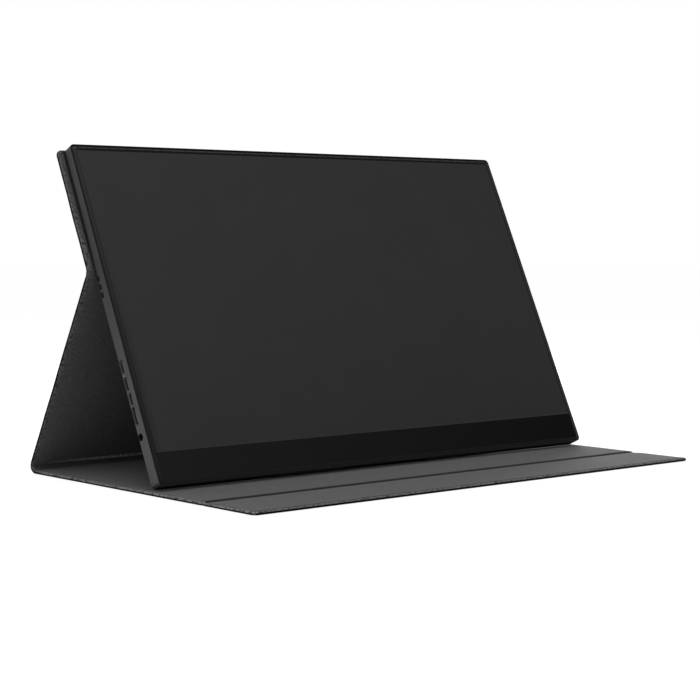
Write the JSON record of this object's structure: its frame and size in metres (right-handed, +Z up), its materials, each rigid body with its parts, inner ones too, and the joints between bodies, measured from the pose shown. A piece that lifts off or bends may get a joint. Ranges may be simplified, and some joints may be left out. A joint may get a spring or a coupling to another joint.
{
  "type": "portable monitor with cover",
  "caption": "Slim flat monitor that leans on its folding leather cover: the cover is its stand, base and front flap.",
  "frame": {"origin": "middle of the outline on the table, under the cover's base", "axes": "+X along the width, to the right of someone who looks at the screen; +Y from the front flap to the rear fold; +Z up"},
  "size_m": [0.363, 0.2333, 0.2042],
  "materials": {
    "casing_metal": "anodised satin, dark grey",
    "rear_plastic": "fine texture, near black",
    "cover_glass": "gloss, printed black behind",
    "panel_glass": "matte film, dark grey",
    "clear_acrylic": "clear, white dots on the back",
    "light_strip": "pale yellow lamps on white",
    "sheet_metal": "mill finish",
    "circuit_board": "green solder mask",
    "chip_black": "moulded, matt",
    "film_amber": "amber film",
    "ribbon_white": "flat ribbon, off-white",
    "socket_steel": "plated, satin",
    "socket_black": "black moulding",
    "lamp_clear": "milky light pipe",
    "speaker_black": "moulded, matt",
    "lead_red": "soft insulation, red",
    "foot_rubber": "matt",
    "magnet_plated": "nickel plated",
    "screw_black": "black oxide",
    "button_black": "satin",
    "cover_leather": "coated, fine grain, dark grey",
    "cover_board": "grey board, uncoated",
    "cover_lining": "brushed microfibre, mid grey"
  },
  "bodies": {
    "base": {"base_skin": "cover_leather", "base_board": "cover_board", "base_lining": "cover_lining"},
    "leg": {"leg_skin": "cover_leather", "leg_board": "cover_board", "leg_lining": "cover_lining"},
    "monitor": {"frame": "casing_metal", "rear_shell": "rear_plastic", "shell_screws": "screw_black", "front_glass": "cover_glass", "display_panel": "panel_glass", "light_guide": "clear_acrylic", "light_bar": "light_strip", "back_plate": "sheet_metal", "driver_board": "circuit_board", "film_flexes": "film_amber", "main_board": "circuit_board", "board_chips": "chip_black", "shield_can": "sheet_metal", "display_ribbon": "ribbon_white", "button_board": "circuit_board", "button_ribbon": "ribbon_white", "speaker_leads": "lead_red", "upper_charging_socket": "socket_steel", "lower_charging_socket": "socket_steel", "data_socket": "socket_steel", "picture_socket": "socket_steel", "audio_socket": "socket_black", "status_light": "lamp_clear", "left_speaker": "speaker_black", "right_speaker": "speaker_black", "foot_strips": "foot_rubber", "shell_magnets": "magnet_plated", "upper_skin": "cover_leather", "upper_board": "cover_board", "upper_lining": "cover_lining", "upper_magnets": "magnet_plated"},
    "flap": {"flap_skin": "cover_leather", "flap_board": "cover_board", "flap_lining": "cover_lining", "flap_magnets": "magnet_plated"},
    "power_key": {"power_button": "button_black"},
    "up_key": {"up_button": "button_black"},
    "down_key": {"down_button": "button_black"}
  },
  "joints": [
    {"name": "rear_fold", "type": "hinge", "parent": "base", "child": "leg", "pos_m": [0, 0.11555, 0.0011], "axis": [-1, 0, 0], "range_deg": [0, 119.17]},
    {"name": "middle_fold", "type": "hinge", "parent": "leg", "child": "monitor", "pos_m": [0, 0.04537, 0.12684], "axis": [-1, 0, 0], "range_deg": [-54.42, 0]},
    {"name": "front_crease", "type": "hinge", "parent": "base", "child": "flap", "pos_m": [0, -0.06915, 0.0011], "axis": [-1, 0, 0], "range_deg": [0, 120]},
    {"name": "power_press", "type": "slide", "parent": "monitor", "child": "power_key", "axis": [1, 0, 0], "range_m": [0, 0.0005], "stiffness_N_per_m": 1500},
    {"name": "up_press", "type": "slide", "parent": "monitor", "child": "up_key", "axis": [1, 0, 0], "range_m": [0, 0.0005], "stiffness_N_per_m": 1500},
    {"name": "down_press", "type": "slide", "parent": "monitor", "child": "down_key", "axis": [1, 0, 0], "range_m": [0, 0.0005], "stiffness_N_per_m": 1500}
  ],
  "couplings": [
    {"joint": "middle_fold", "follows": "rear_fold", "ratio": -0.45622}
  ]
}
